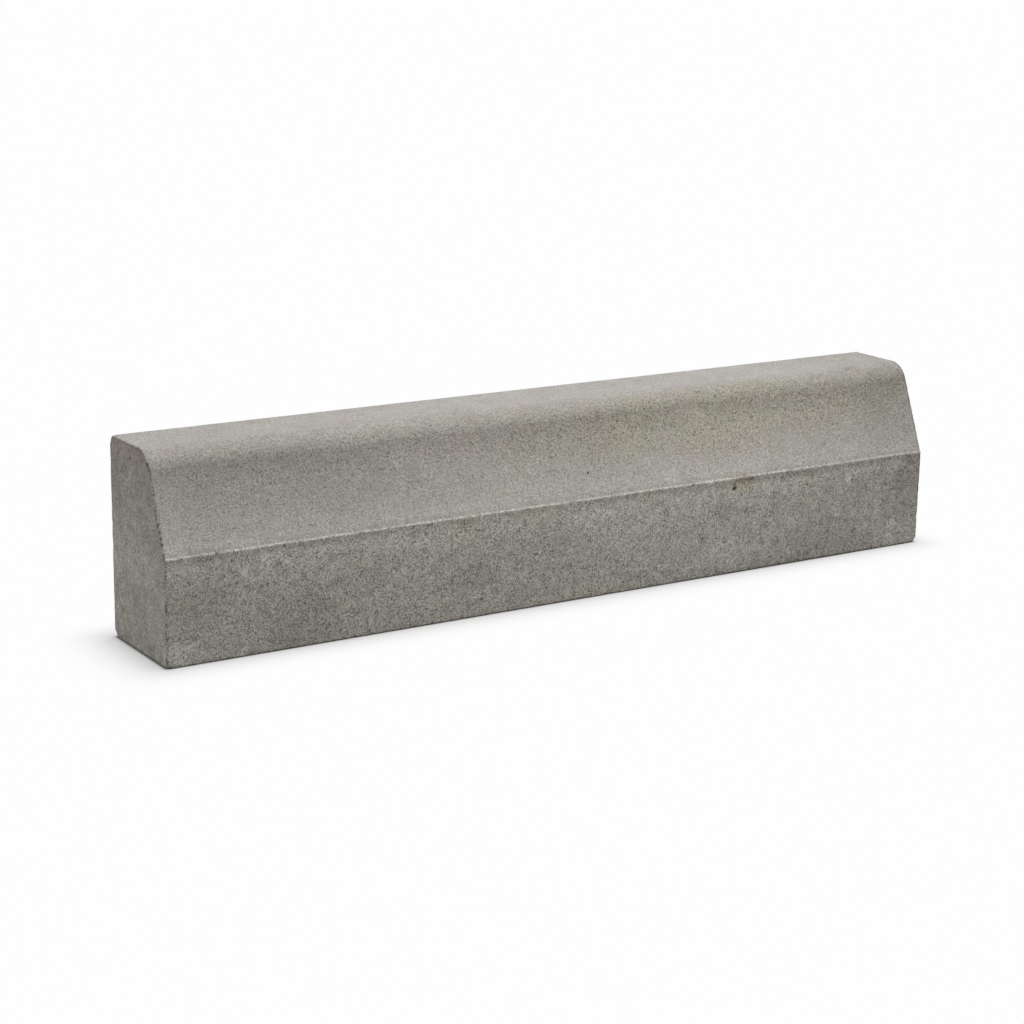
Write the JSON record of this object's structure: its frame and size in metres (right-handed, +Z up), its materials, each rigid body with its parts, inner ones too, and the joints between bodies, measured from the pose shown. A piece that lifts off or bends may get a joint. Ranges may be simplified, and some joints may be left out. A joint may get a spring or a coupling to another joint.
{
  "type": "concrete kerb stone",
  "caption": "Pressed concrete kerb stone with a vertical lower face, a battered upper face, a rounded nosing and a flat top; laid end to end to edge a road or path.",
  "frame": {"origin": "centre of the base, on the ground", "axes": "+X runs along the stone, -Y is the road side with the battered front, +Y is the back, +Z is up"},
  "size_m": [1, 0.13, 0.216],
  "materials": {
    "concrete": "matt grey dry-pressed concrete, open and mottled on the lower face, closed and smooth on the pressed top"
  },
  "bodies": {
    "root": {"kerb_stone": "concrete"}
  },
  "joints": []
}
